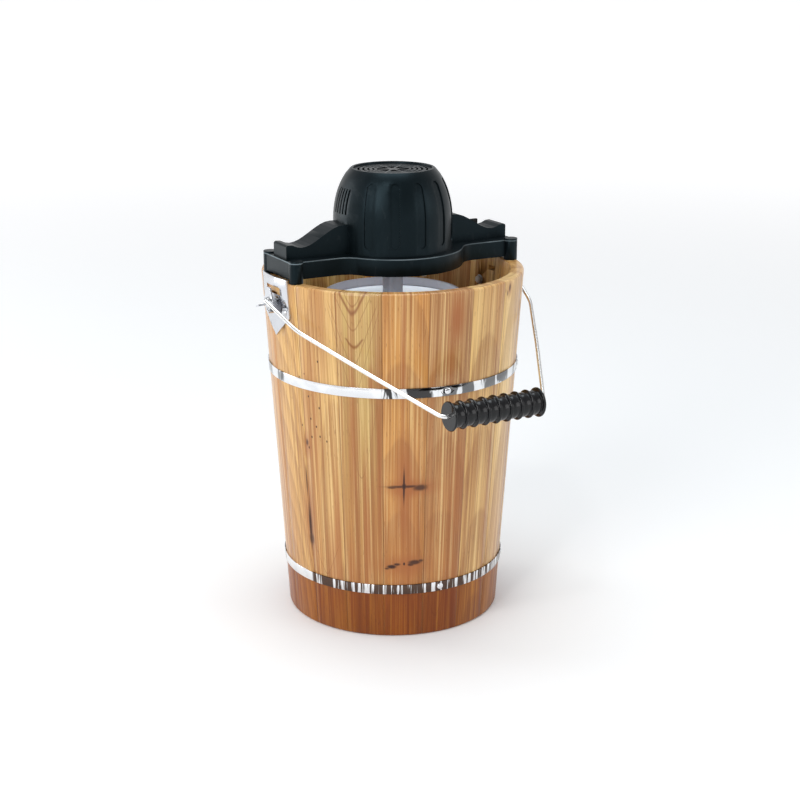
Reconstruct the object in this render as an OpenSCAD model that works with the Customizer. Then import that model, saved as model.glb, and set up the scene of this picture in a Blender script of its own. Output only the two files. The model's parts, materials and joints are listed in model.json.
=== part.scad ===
// Electric ice cream maker: a coopered wooden bucket, a canister with a dasher inside it,
// and a geared motor unit that bridges the rim. Millimetres, +Z up.
// The origin is the centre of the bucket's base. X runs from ear to ear, and the carrying
// bail hangs towards -Y.

/* [Bucket] */
// Height of the wooden bucket
bucket_h = 365; // [330:1:440]
// Outer radius of the bucket at its rim
rim_r = 135; // [130:1:162]
// Outer radius of the bucket at its base
base_r = 112; // [108:1:125]
// Thickness of a stave
stave_t = 14; // [10:0.5:17]
// Turn of the first stave joint from the +X axis, degrees
stave_turn = -3; // [-20:1:20]
// Height of the rounding on the rim and base edges
edge_round = 2.5; // [1:0.5:4]
// Height of the floor board's underside above the base
floor_z = 14; // [8:1:24]
// Thickness of the floor board
floor_t = 12; // [8:1:15]
// Depth of the groove that holds the floor board
croze_depth = 5; // [3:0.5:7]

/* [Hoops] */
// Height of a hoop band
hoop_h = 10.2; // [8:0.2:16]
// Thickness of a hoop band
hoop_t = 1.2; // [0.8:0.1:2]
// Height of the upper hoop's lower edge
upper_hoop_z = 260; // [200:1:290]
// Height of the lower hoop's lower edge
lower_hoop_z = 48.4; // [40:0.2:90]
// Angle that a hoop's ends overlap, degrees
hoop_lap = 16; // [8:1:30]
// Radius of a tack head
tack_r = 3.4; // [2:0.1:4.5]
// Height of a tack head
tack_head_h = 1.2; // [0.8:0.1:2]
// Length of a tack shank from the stave's face inwards
tack_shank = 8; // [5:0.5:9]
// Turn of the first tack from the +X axis, degrees
tack_turn = -94; // [-110:1:-80]

/* [Bail ears] */
// Thickness of an ear's steel
ear_t = 1.6; // [1:0.1:2.2]
// Width of an ear plate
ear_w = 56; // [48:1:66]
// Height of the straight part of an ear plate
ear_side_h = 39; // [34:1:48]
// Height of an ear plate down to its point
ear_h = 61; // [56:1:74]
// How far an ear plate stands above the rim
ear_rise = 3.5; // [2:0.5:4]
// Depth of the bail pivot below the rim
pivot_drop = 20; // [18:0.5:24]
// Gap between the bucket's face and the ear's raised tab, at the pivot
tab_out = 5.5; // [5:0.1:7]
// Width of the raised tab at its base
tab_w = 34; // [28:1:38]
// Width of the slot through the wall behind the tab
slot_w = 12; // [8:1:12]
// Height of the slot through the wall behind the tab
slot_h = 5; // [4.6:0.1:6]
// Radius of an ear screw
ear_screw_r = 2; // [1.5:0.1:2.5]

/* [Bail] */
// Radius of the bail wire
wire_r = 2.1; // [1.5:0.1:2.6]
// Reach of the bail from its pivot to the grip
bail_reach = 216; // [200:1:260]
// Angle of the resting bail below level, degrees
bail_rest = 22; // [15:1:30]
// Length of the grip
grip_l = 100; // [80:1:120]
// Radius of the grip's flanges
grip_r = 13.8; // [11:0.1:17]
// Radius of the grip between its flanges
grip_body_r = 11.4; // [8:0.1:14]
// Number of grip sections between flanges
grip_sections = 8; // [5:1:10]
// Thickness of a grip flange
grip_flange_t = 2.6; // [1.6:0.2:4]

/* [Canister] */
// Outer radius of the canister
can_r = 67; // [56:1:72]
// Thickness of the canister wall
can_t = 1; // [0.6:0.1:1.4]
// Drop from the rim to the top edge of the canister
can_drop = 39; // [34:1:60]
// Height of the canister's base above the floor board
can_lift = 7; // [6:0.5:12]
// Height of the lid's raised wall above the lid's plate
lid_wall_h = 9; // [5:0.5:11]
// Outer radius of the lid's drive neck
neck_r = 10.4; // [10.2:0.1:11.5]
// Radius of the dasher stem
stem_r = 6; // [5:0.1:6.5]
// Gap between the dasher's side bars and the canister's wall
dasher_gap = 11; // [8:0.5:16]
// Height of the dasher frame
dasher_h = 240; // [200:1:255]

/* [Motor unit] */
// Distance of each end of the motor unit in from the rim's edge
motor_inset = 5; // [4:0.5:8]
// Width of the straight part of the base flange
bar_w = 60; // [50:1:70]
// Radius of the base flange's round middle
bulge_r = 72; // [68:1:80]
// Height of the base flange's skirt
skirt_h = 17.6; // [16:0.2:22]
// Height of the feet below the skirt
foot_h = 3.4; // [3:0.1:5]
// Radius of a corner foot
foot_r = 7; // [5:0.5:9]
// Thickness of the housing wall
shell_t = 2.5; // [1.6:0.1:3]
// Radius of the dome at its base
dome_r = 61; // [58:0.5:64]
// Radius of the dome at its top
dome_top_r = 41.5; // [38:0.5:46]
// Height of the dome's top above the rim
dome_h = 101.5; // [98:0.5:120]
// Height above the rim at which the dome starts to round in
dome_waist = 50; // [44:1:60]
// Width of a raised arm
arm_w = 29.5; // [26:0.5:40]
// Height of an arm above the rim where it meets the dome
arm_root_h = 50; // [44:1:56]
// Lowest height of an arm above the rim
arm_dip_h = 31.5; // [29:0.5:40]
// Height of an arm's raised end above the rim
arm_end_h = 35; // [32:0.5:42]
// Width of a dome flute
flute_w = 9.2; // [6:0.2:12]
// Depth of a dome flute
flute_d = 1.1; // [0.6:0.1:1.4]
// Angle between neighbouring flutes, degrees
flute_pitch = 26; // [22:1:30]
// Depth of the top grille below the dome's lip
grille_drop = 1.8; // [1:0.1:3]

/* [Drive] */
// Gear module
gear_m = 0.8; // [0.7:0.05:0.9]
// Teeth on each wheel
wheel_teeth = 60; // [56:4:64]
// Teeth on each pinion
pinion_teeth = 12; // [12:2:14]
// Thickness of a gear wheel
wheel_t = 4.4; // [3:0.2:4.8]
// Radius of the rotor shaft
shaft_r = 2.5; // [2:0.1:2.6]
// Radius of the idler axle
axle_r = 2; // [1.5:0.1:2.2]
// Radius of the stator
stator_r = 40; // [34:1:44]
// Height of the stator's steel stack
stack_h = 26; // [20:1:30]
// Radius of the rotor
rotor_r = 18.6; // [15:0.2:21]
// Radius of the cooling fan
fan_r = 34; // [24:1:38]

/* [Clearances] */
// Running clearance of a shaft or pin, radial
run_gap = 0.05; // [0.02:0.01:0.08]
// Loose clearance between parts that move past each other
loose_gap = 0.4; // [0.3:0.05:0.6]

/* [Hidden] */
stave_count = 18;
two_digits = function (n) n < 10 ? str("0", n) : str(n);
stave_names = [for (i = [1:stave_count]) str("stave_", two_digits(i))];

$fn = 96;
stave_angle = 360 / stave_count;
lean = atan((rim_r - base_r) / bucket_h);

// bucket surface
function outer_r(z) = base_r + (rim_r - base_r) * z / bucket_h;
function inner_r(z) = outer_r(z) - stave_t / cos(lean);

// heights in the bucket
floor_top = floor_z + floor_t;
can_z = floor_top + can_lift;
can_top = bucket_h - can_drop;
pivot_z = bucket_h - pivot_drop;
plate_z = floor_top;
pivot_plate_r = 16;
pivot_plate_t = 2;
stud_r = 5;
stud_top = can_z + 4.7;
cup_r = stud_r + 2.5;
cup_top = can_z + 7;
nipple_r = 4;
nipple_top = cup_top + 6;

// ear
ear_top = bucket_h + ear_rise;
tab_x = outer_r(pivot_z) + tab_out;
tab_base = pivot_z - 11;
tab_apex = pivot_z + 12;
eye_r = wire_r + 0.5;
window_z = bucket_h - 14;
window_h = 7.5;
window_w = tab_w - 4;
slot_z = bucket_h - 15;
ear_screw_y = ear_w / 2 - 7.4;
ear_screw_z = ear_top - ear_side_h + 4.5;
ear_nut_af = 7;
lip_from = 12;
lip_l = 6;

// bail, in its own plane
leg_gap = 2.6;
leg_x = tab_x + ear_t + leg_gap + wire_r;
leg_bend = 3.4;
motor_end = rim_r - motor_inset;
foot_top = foot_h + skirt_h + 1.5;
foot_y = bar_w / 2;
foot_clear = 0.02;
swing_past = norm([pivot_drop + foot_top, foot_y + foot_r]);
shoulder_x = motor_end + wire_r + 2.7;
shoulder_s = swing_past + 2;
bow_x = (shoulder_x + grip_l / 2 + 6) / 2 + 5;
bow_s = (shoulder_s + bail_reach) / 2 - 8;
corner_x = grip_l / 2 + 6.2;
pin_start = tab_x - 1.9;
bail_path = [
    [leg_x - leg_bend - 1, 0], [leg_x, 0], [shoulder_x, shoulder_s], [bow_x, bow_s],
    [corner_x, bail_reach], [grip_l / 2 - 2, bail_reach]
];
bail_bends = [0, leg_bend, 60, 260, 10, 0];

// canister and dasher
can_inner_r = can_r - can_t;
bead_r = 1.5;
lid_plate_z = can_top + 1;
lid_plate_t = 2;
lid_wall_t = 2.2;
lid_r = can_r + bead_r + 0.4 + lid_wall_t;
neck_hex_r = neck_r - 1.1;
drive_z = bucket_h - 1;
stem_z = nipple_top - 5;
square_w = stem_r * 1.4;
dasher_t = 6;
dasher_z = can_z + 10;
dasher_top = dasher_z + dasher_h;
dasher_bar = 9;
dasher_w = 2 * (can_inner_r - dasher_gap);
scraper_w = dasher_gap - 1;

// motor unit heights, all from the rim
skirt_z = bucket_h + foot_h;
flange_top = skirt_z + skirt_h;
cover_t = 2.5;
cover_top = skirt_z + cover_t;
cover_gap = 0.2;
level_gap = 1.1;
wheel_z = cover_top + level_gap;
hex_top = wheel_z;
recess_z = wheel_z + 0.2;
socket_z = recess_z + 0.4;
square_z = socket_z - loose_gap;
lock_z = wheel_z + wheel_t + 1.4;
lock_t = 1.6;
square_top = lock_z - 0.5;
idler_z = lock_z + lock_t + level_gap;
idler_top = idler_z + wheel_t;
plate2_z = idler_top + 1.6;
plate2_t = 2.2;
stack_z = plate2_z + 14;
coil_h = 7;
coil_gap = 0.5;
bridge_z = stack_z + stack_h + coil_h + 4;
bridge_t = 3;
fan_z = bridge_z + bridge_t + 6;
fan_h = 9;
dome_lip = bucket_h + dome_h;
grille_t = 2.2;
grille_z = dome_lip - grille_drop - grille_t;
grille_r = dome_top_r - 1.6;
ledge_r = grille_r - 3;

// gears
gear_reach = gear_m * (wheel_teeth + pinion_teeth) / 2;
addendum = 0.7;
dedendum = 1.05;
backlash = 0.12;
pressure = 20;
hub_r = 14;
boss_r = 9;
bush_r = hub_r + 3;
pillar_ring = 47;
pillar_r = 4;
bolt_ring = stator_r - 5;
bolt_r = 2;
boss_places = [[104, 0], [-104, 0], [0, bulge_r - 7.5], [0, 7.5 - bulge_r]];
base_boss_r = 4;
base_screw_r = 1.6;
gland_x = 106;
gland_r = 4;
gland_ring = 1.2;
gland_z = flange_top + gland_r + gland_ring + 0.6;
keeper_h = 15.5;

wood = "BurlyWood";
honey = "Goldenrod";
chrome_grey = "Silver";
black_plastic = [0.07, 0.07, 0.08];
lid_white = [0.85, 0.87, 0.9, 0.8];
steel = "LightSteelBlue";

// ---------- shared shapes ----------

function on_circle(c, r, a) = c + r * [cos(a), sin(a)];
function arc_points(c, r, a0, a1, n) = [for (i = [0:n]) on_circle(c, r, a0 + (a1 - a0) * i / n)];

// angle of an involute at radius q, for base radius rb
function roll(q, rb) = q <= rb ? 0 : tan(acos(rb / q)) * 180 / PI - acos(rb / q);

// half angle of a tooth at radius q
function tooth_half(q, n) =
    let (pr = gear_m * n / 2, rb = pr * cos(pressure), slack = backlash / 4 / pr * 180 / PI)
    90 / n - slack + roll(pr, rb) - roll(max(q, rb), rb);

function tooth_radii(n) =
    let (pr = gear_m * n / 2, root = pr - dedendum * gear_m, tip = pr + addendum * gear_m)
    [root, max(root + 0.05, pr * cos(pressure)), pr, tip];

module gear_outline(n) {
    qs = tooth_radii(n);
    points = [for (i = [0:n - 1]) for (side = [-1, 1]) for (k = [0:3])
        let (q = side < 0 ? qs[k] : qs[3 - k], a = 360 * i / n + side * tooth_half(q, n))
        q * [cos(a), sin(a)]];
    polygon(points);
}

// a ring or tube about Z
module tube(r_out, r_in, z0, z1) {
    translate([0, 0, z0])
        difference() {
            cylinder(r = r_out, h = z1 - z0);
            translate([0, 0, -1])
                cylinder(r = r_in, h = z1 - z0 + 2);
        }
}

module rod(r, z0, z1) {
    translate([0, 0, z0])
        cylinder(r = r, h = z1 - z0);
}

// straight and bent runs of wire in the XY plane
function dir(a, b) = (b - a) / norm(b - a);
function turn(a, b, c) = acos(min(1, dir(a, b) * dir(b, c)));
function side_of(a, b, c) = cross(dir(a, b), dir(b, c)) >= 0 ? 1 : -1;
function tangent(p, bends, i) =
    (i == 0 || i == len(p) - 1) ? 0 : bends[i] * tan(turn(p[i - 1], p[i], p[i + 1]) / 2);

// centre points of the bend at corner i, with the heading at each
function bend_points(p, bends, i, steps) =
    let (a = dir(p[i - 1], p[i]), t = turn(p[i - 1], p[i], p[i + 1]),
        s = side_of(p[i - 1], p[i], p[i + 1]),
        start = p[i] - a * tangent(p, bends, i), normal = s * [-a[1], a[0]],
        centre = start + bends[i] * normal, heading = atan2(a[1], a[0]))
    [for (k = [0:steps])
        let (h = heading + s * t * k / steps)
        [centre - bends[i] * s * [-sin(h), cos(h)], h]];

// a bent wire in the XY plane, as one swept skin
module wire_sweep(p, bends, r) {
    sides = 12;
    steps = 6;
    first = [p[0], atan2(p[1][1] - p[0][1], p[1][0] - p[0][0])];
    n = len(p);
    last = [p[n - 1], atan2(p[n - 1][1] - p[n - 2][1], p[n - 1][0] - p[n - 2][0])];
    stations = concat([first], [for (i = [1:n - 2]) each bend_points(p, bends, i, steps)], [last]);
    rings = len(stations);
    points = [for (s = stations) for (k = [0:sides - 1])
        let (a = 360 * k / sides, c = s[0] + r * cos(a) * [-sin(s[1]), cos(s[1])])
        [c[0], c[1], r * sin(a)]];
    skin = [for (j = [0:rings - 2]) for (k = [0:sides - 1])
        let (k2 = (k + 1) % sides)
        [j * sides + k, (j + 1) * sides + k, (j + 1) * sides + k2, j * sides + k2]];
    start_cap = [[for (k = [0:sides - 1]) k]];
    end_cap = [[for (k = [sides - 1:-1:0]) (rings - 1) * sides + k]];
    polyhedron(points, concat(skin, start_cap, end_cap), convexity = 6);
}

// ---------- bucket ----------

function stave_profile() = [
    [inner_r(0) + edge_round, 0],
    [outer_r(0) - edge_round, 0],
    [outer_r(edge_round * 0.3) - edge_round * 0.3, edge_round * 0.3],
    [outer_r(edge_round), edge_round],
    [outer_r(bucket_h - edge_round), bucket_h - edge_round],
    [outer_r(bucket_h) - edge_round * 0.3, bucket_h - edge_round * 0.3],
    [outer_r(bucket_h) - edge_round, bucket_h],
    [inner_r(bucket_h) + edge_round, bucket_h],
    [inner_r(bucket_h) + edge_round * 0.3, bucket_h - edge_round * 0.3],
    [inner_r(bucket_h), bucket_h - edge_round],
    [inner_r(floor_top), floor_top],
    [inner_r(floor_top) + croze_depth, floor_top],
    [inner_r(floor_z) + croze_depth, floor_z],
    [inner_r(floor_z), floor_z],
    [inner_r(0), edge_round]
];

module on_wall(angle, z, depth = 0) {
    rotate([0, 0, angle])
        translate([outer_r(z) + depth, 0, z])
            rotate([0, 90 + lean, 0])
                children();
}

module tack_places() {
    for (z = [upper_hoop_z, lower_hoop_z])
        for (i = [0:4])
            on_wall(tack_turn + 60 * i, z + hoop_h / 2)
                children();
}

module tack_shanks() {
    tack_places()
        translate([0, 0, -tack_shank])
            cylinder(r = 1, h = tack_shank + 1, $fn = 24);
}

module ear_screw_places() {
    spread = asin(ear_screw_y / outer_r(ear_screw_z));
    for (s = [0, 180])
        for (y = [-1, 1])
            on_wall(s + y * spread, ear_screw_z)
                children();
}

module ear_screw_holes() {
    ear_screw_places()
        translate([0, 0, -stave_t * 2])
            cylinder(r = ear_screw_r, h = stave_t * 4, $fn = 24);
}

module wall_slots() {
    for (s = [-1, 1])
        translate([s * (rim_r - stave_t / 2), 0, slot_z])
            cube([stave_t * 3, slot_w, slot_h], center = true);
}

module stave(i) {
    color(i % 3 == 0 ? honey : wood)
        difference() {
            rotate([0, 0, stave_turn + stave_angle * i])
                rotate_extrude(angle = stave_angle)
                    polygon(stave_profile());
            tack_shanks();
            ear_screw_holes();
            wall_slots();
        }
}

module bucket_floor() {
    color(wood)
        difference() {
            rotate_extrude()
                polygon([
                    [0, floor_z],
                    [inner_r(floor_z) + croze_depth - 0.2, floor_z],
                    [inner_r(floor_top) + croze_depth - 0.2, floor_top],
                    [0, floor_top]
                ]);
            pivot_screw_shanks();
        }
}

module hoop_band(z, from, to) {
    rotate_extrude()
        polygon([
            [outer_r(z) + from, z],
            [outer_r(z) + to, z],
            [outer_r(z + hoop_h) + to, z + hoop_h],
            [outer_r(z + hoop_h) + from, z + hoop_h]
        ]);
}

module hoop(z) {
    color(chrome_grey)
        difference() {
            union() {
                hoop_band(z, 0, hoop_t);
                intersection() {
                    hoop_band(z, hoop_t, 2 * hoop_t);
                    rotate([0, 0, tack_turn + 180 - hoop_lap / 2])
                        rotate_extrude(angle = hoop_lap)
                            translate([rim_r / 2, 0])
                                square([rim_r, bucket_h]);
                }
            }
            tack_places()
                translate([0, 0, -1])
                    cylinder(r = 1, h = 4 * hoop_t, $fn = 24);
        }
}

module hoop_tacks() {
    color(chrome_grey)
        for (z = [upper_hoop_z, lower_hoop_z])
            for (i = [0:4])
                on_wall(tack_turn + 60 * i, z + hoop_h / 2)
                    rotate_extrude($fn = 48)
                        tack_half(i == 3 ? 2 * hoop_t : hoop_t);
}

// half outline of a tack whose head sits at the given height
module tack_half(seat) {
    polygon(concat(
        [[0, -tack_shank], [1, -tack_shank], [1, seat + 0.05], [tack_r, seat + 0.05]],
        [for (a = [15:15:90]) [tack_r * cos(a), seat + 0.05 + tack_head_h * sin(a)]]));
}

// ---------- bail ears ----------

module ear_outline() {
    polygon([
        [-ear_w / 2, ear_top],
        [-ear_w / 2, ear_top - ear_side_h],
        [0, ear_top - ear_h],
        [ear_w / 2, ear_top - ear_side_h],
        [ear_w / 2, ear_top]
    ]);
}

// a prism along X from an outline drawn in Y and Z
module along_x(x0, x1) {
    translate([x0, 0, 0])
        rotate([90, 0, 90])
            linear_extrude(x1 - x0)
                children();
}

module ear_plate() {
    difference() {
        intersection() {
            rotate_extrude()
                polygon([
                    [outer_r(ear_top - ear_h), ear_top - ear_h],
                    [outer_r(ear_top - ear_h) + ear_t, ear_top - ear_h],
                    [outer_r(ear_top) + ear_t, ear_top],
                    [outer_r(ear_top), ear_top]
                ]);
            along_x(rim_r / 2, rim_r * 1.5)
                ear_outline();
        }
        translate([rim_r / 2, -window_w / 2, window_z])
            cube([rim_r, window_w, window_h]);
    }
}

module ear_tab() {
    root_x = outer_r(tab_base) + ear_t / 2;
    fold = ear_t * 1.2;
    difference() {
        intersection() {
            rotate([90, 0, 0])
                translate([0, 0, -tab_w])
                    linear_extrude(2 * tab_w)
                        polygon([
                            [root_x, tab_base - 2],
                            [tab_x + ear_t, tab_base + 4],
                            [tab_x + ear_t, tab_apex],
                            [tab_x, tab_apex],
                            [tab_x, tab_base + 4 + fold / 2],
                            [root_x, tab_base - 2 + fold]
                        ]);
            along_x(rim_r / 2, rim_r * 1.5)
                polygon([
                    [-tab_w / 2, tab_base - 3],
                    [tab_w / 2, tab_base - 3],
                    [4, tab_apex],
                    [-4, tab_apex]
                ]);
        }
        translate([rim_r / 2, 0, pivot_z])
            rotate([0, 90, 0])
                cylinder(r = eye_r, h = rim_r, $fn = 48);
    }
}

// small ledges that the bail's legs come to rest on, front and back
module ear_lips() {
    for (s = [0, 1])
        mirror([0, s, 0])
            translate([tab_x, 0, pivot_z])
                rotate([bail_rest, 0, 0])
                    translate([0, -lip_from - lip_l, -wire_r - loose_gap - ear_t])
                        cube([ear_t + leg_gap + 2 * wire_r, lip_l, ear_t]);
}

module ear(side) {
    color(chrome_grey)
        mirror([side < 0 ? 1 : 0, 0, 0])
            difference() {
                union() {
                    ear_plate();
                    ear_tab();
                    ear_lips();
                }
                ear_screw_holes();
            }
}

module ear_screws() {
    color(chrome_grey)
        ear_screw_places() {
            translate([0, 0, -stave_t - 5])
                cylinder(r = ear_screw_r, h = stave_t + 5 + ear_t, $fn = 24);
            translate([0, 0, ear_t])
                cylinder(r1 = ear_screw_r * 1.9, r2 = ear_screw_r * 1.3, h = 1.6, $fn = 32);
        }
}

module ear_nuts() {
    seat = stave_t / cos(lean) + 0.6;
    color(chrome_grey)
        ear_screw_places()
            difference() {
                union() {
                    translate([0, 0, -seat - 1])
                        cylinder(r = ear_nut_af * 0.7, h = 0.8, $fn = 32);
                    translate([0, 0, -seat - 3.8])
                        cylinder(d = ear_nut_af / cos(30), h = 2.8, $fn = 6);
                }
                translate([0, 0, -seat - 5])
                    cylinder(r = ear_screw_r, h = 6, $fn = 24);
            }
}

// ---------- canister pivot ----------

module pivot_screw_places() {
    for (i = [0:2])
        rotate([0, 0, 120 * i + 30])
            translate([pivot_plate_r - 4.5, 0, 0])
                children();
}

module pivot_screw_shanks() {
    pivot_screw_places()
        rod(1.4, floor_top - 8, floor_top + pivot_plate_t, $fn = 24);
}

module pivot_plate() {
    color(steel)
        difference() {
            union() {
                rod(pivot_plate_r, plate_z, plate_z + pivot_plate_t);
                rod(stud_r, plate_z, stud_top - 1);
                translate([0, 0, stud_top - 1])
                    cylinder(r1 = stud_r, r2 = stud_r - 1, h = 1);
            }
            pivot_screw_shanks();
        }
}

module pivot_screws() {
    color(steel)
        pivot_screw_places() {
            rod(1.4, floor_top - 8, floor_top + pivot_plate_t, $fn = 24);
            rod(2.6, floor_top + pivot_plate_t, floor_top + pivot_plate_t + 1.2, $fn = 32);
        }
}

// ---------- canister and dasher ----------

module canister() {
    color(steel)
        rotate_extrude()
            polygon(concat(
                [
                    [0, stud_top + 0.4],
                    [stud_r + run_gap, stud_top + 0.4],
                    [stud_r + run_gap, can_z],
                    [can_r - 3, can_z],
                    [can_r, can_z + 3],
                    [can_r, can_top - 2 * bead_r]
                ],
                arc_points([can_r, can_top - bead_r], bead_r, -90, 90, 8),
                [
                    [can_inner_r, can_top],
                    [can_inner_r, can_z + 4],
                    [can_inner_r - 2, can_z + can_t + 1],
                    [cup_r, can_z + can_t + 1],
                    [cup_r, cup_top],
                    [nipple_r, cup_top],
                    [nipple_r, nipple_top],
                    [0, nipple_top]
                ]));
}

module canister_lid() {
    plug_r = can_inner_r - 0.3;
    skirt_in = lid_r - lid_wall_t;
    wall_top = lid_plate_z + lid_plate_t + lid_wall_h;
    color(lid_white)
        difference() {
            union() {
                rotate_extrude()
                    polygon([
                        [stem_r, lid_plate_z],
                        [plug_r - 2, lid_plate_z],
                        [plug_r - 2, lid_plate_z - 8],
                        [plug_r, lid_plate_z - 8],
                        [plug_r, lid_plate_z],
                        [skirt_in, lid_plate_z],
                        [skirt_in, lid_plate_z - 6],
                        [lid_r, lid_plate_z - 6],
                        [lid_r, wall_top - 0.6],
                        [lid_r - 0.6, wall_top],
                        [lid_r - lid_wall_t + 0.6, wall_top],
                        [lid_r - lid_wall_t, wall_top - 0.6],
                        [lid_r - lid_wall_t, lid_plate_z + lid_plate_t],
                        [stem_r, lid_plate_z + lid_plate_t]
                    ]);
                rod(neck_r, lid_plate_z, drive_z);
                translate([0, 0, drive_z])
                    cylinder(r = neck_hex_r, h = hex_top - drive_z, $fn = 6);
                for (i = [0:5])
                    rotate([0, 0, 60 * i + 30])
                        translate([neck_r - 1, -1, lid_plate_z + 1])
                            cube([8, 2, 5]);
            }
            rod(stem_r + run_gap, lid_plate_z - 10, hex_top + 10);
        }
}

module dasher_bars() {
    half = dasher_w / 2;
    for (s = [-1, 1])
        translate([s * (half - dasher_bar / 2), 0, dasher_z + dasher_h / 2])
            cube([dasher_bar, dasher_t, dasher_h], center = true);
    for (z = [dasher_z + dasher_bar / 2, dasher_z + dasher_h / 2, dasher_top - dasher_bar / 2])
        translate([0, 0, z])
            cube([dasher_w, dasher_t, dasher_bar], center = true);
}

// slanted paddles between the stem and the side bars
module dasher_paddles() {
    for (z = [dasher_z + dasher_h * 0.27, dasher_z + dasher_h * 0.73])
        for (s = [-1, 1])
            translate([s * dasher_w / 4, 0, z])
                rotate([s * 35, 0, 0])
                    cube([dasher_w / 2 - 4, 30, 3], center = true);
}

module dasher() {
    color("WhiteSmoke")
        difference() {
            union() {
                dasher_bars();
                dasher_paddles();
                rod(stem_r, stem_z, square_z);
                rod(nipple_r + 4, dasher_z, dasher_z + 16);
                translate([0, 0, (square_z + square_top) / 2 - 1])
                    cube([square_w, square_w, square_top - square_z + 2], center = true);
            }
            rod(cup_r + 1, can_z, cup_top + loose_gap);
            rod(nipple_r + run_gap, can_z, nipple_top + loose_gap);
        }
}

module scraper(side) {
    color("White")
        mirror([side < 0 ? 1 : 0, 0, 0])
            translate([dasher_w / 2, 0, 0])
                rotate([90, 0, 0])
                    translate([0, 0, -1.5])
                        linear_extrude(3)
                            polygon([
                                [0, dasher_z + 4],
                                [scraper_w, dasher_z + 14],
                                [scraper_w, dasher_top - 14],
                                [0, dasher_top - 4]
                            ]);
}

// ---------- bail ----------

module bail_wire() {
    axle_half = corner_x - tangent(bail_path, bail_bends, len(bail_path) - 2);
    pin_end = leg_x - leg_bend;
    color(chrome_grey)
        translate([0, 0, pivot_z])
            rotate([bail_rest, 0, 0]) {
                translate([-axle_half, -bail_reach, 0])
                    rotate([0, 90, 0])
                        cylinder(r = wire_r, h = 2 * axle_half);
                for (s = [0, 1])
                    mirror([s, 0, 0]) {
                        mirror([0, 1, 0])
                            wire_sweep(bail_path, bail_bends, wire_r - 0.02);
                        translate([pin_start, 0, 0])
                            rotate([0, 90, 0])
                                cylinder(r = wire_r, h = pin_end - pin_start);
                        translate([pin_start, 0, 0])
                            rotate([0, 90, 0])
                                cylinder(r = wire_r * 1.8, h = 1.5);
                    }
            }
}

function grip_profile() =
    let (pitch = (grip_l - grip_flange_t) / grip_sections, half = grip_l / 2)
    concat(
        [[wire_r + run_gap, -half]],
        [for (i = [0:grip_sections])
            let (x = -half + i * pitch, tall = i == 0 || i == grip_sections ? 0.6 : 0)
            each [
                [grip_r + tall - 0.9, x],
                [grip_r + tall, x + 0.7],
                [grip_r + tall, x + grip_flange_t - 0.7],
                [grip_r + tall - 0.9, x + grip_flange_t],
                if (i < grip_sections) [grip_body_r, x + grip_flange_t + 0.6],
                if (i < grip_sections) [grip_body_r + 0.5, x + grip_flange_t + pitch / 2 - 1.3],
                if (i < grip_sections) [grip_body_r, x + pitch - 0.6]
            ]],
        [[wire_r + run_gap, half]]);

module bail_grip() {
    color(black_plastic)
        translate([0, 0, pivot_z])
            rotate([bail_rest, 0, 0])
                translate([0, -bail_reach, 0])
                    rotate([0, 90, 0])
                        rotate_extrude()
                            polygon(grip_profile());
}

// ---------- motor housing ----------

function fillet_web(inset) =
    let (
        fillet = 22,
        fillet_ease = 0.06,
        cy = bar_w / 2 + fillet,
        cx = sqrt(pow(bulge_r + fillet, 2) - cy * cy)
    )
    concat(
        [[bulge_r / 2, bar_w / 4], [cx, bar_w / 4]],
        arc_points([cx, cy], fillet + inset + fillet_ease, -90, atan2(cy, cx) - 180, 8));

module base_outline(inset = 0) {
    web = fillet_web(inset);
    last = len(web) - 1;
    circle(r = bulge_r - inset);
    square([2 * (motor_end - inset), bar_w - 2 * inset], center = true);
    for (sx = [-1, 1])
        for (sy = [-1, 1])
            polygon([for (i = [0:last])
                let (p = web[sx * sy > 0 ? i : last - i])
                [sx * p[0], sy * p[1]]]);
}

module foot_places() {
    for (sx = [-1, 1])
        for (sy = [-1, 1])
            translate([sx * (motor_end - foot_r + 1), sy * foot_y, 0])
                children();
}

function ease(t) = t <= 0 ? 0 : t >= 1 ? 1 : t * t * (3 - 2 * t);
function arm_height(x) =
    let (run = motor_end - 6 - dome_r, t = (x - dome_r) / run)
    arm_root_h
        - (arm_root_h - arm_dip_h) * ease((t - 0.06) / 0.72)
        + (arm_end_h - arm_dip_h) * ease((t - 0.8) / 0.17);

module arm_outline(inset = 0) {
    end = motor_end - 3 - inset;
    bottom = inset > 0 ? skirt_z - 1 : skirt_z;
    xs = [for (i = [0:14]) dome_r - 6 + (end - dome_r + 4) * i / 14];
    right = [for (x = xs) [x, bucket_h + arm_height(x) - inset]];
    tip = [
        [end - 1, bucket_h + arm_height(end) - inset - 0.4],
        [end, bucket_h + arm_height(end) - inset - 1.6],
        [end, bottom]
    ];
    half = concat(right, tip);
    other = [for (i = [len(half) - 1:-1:0]) [-half[i][0], half[i][1]]];
    polygon(concat(half, other));
}

module arms(inset = 0) {
    width = arm_w - 2 * inset;
    rotate([90, 0, 0])
        translate([0, 0, -width / 2])
            linear_extrude(width)
                arm_outline(inset);
}

function dome_curve(t, inset) = [
    dome_top_r + (dome_r - dome_top_r) * pow(1 - t * t, 0.75) - inset,
    bucket_h + dome_waist + (dome_h + 0.5 - dome_waist) * t
];

module dome(inset = 0) {
    top_t = 0.97;
    rotate_extrude()
        polygon(concat(
            [[0, skirt_z], [dome_r - inset, skirt_z]],
            [for (i = [0:10]) dome_curve(i / 10 * top_t, inset)],
            [[dome_top_r + 1 - inset, dome_lip - inset], [0, dome_lip - inset]]));
}

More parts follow.
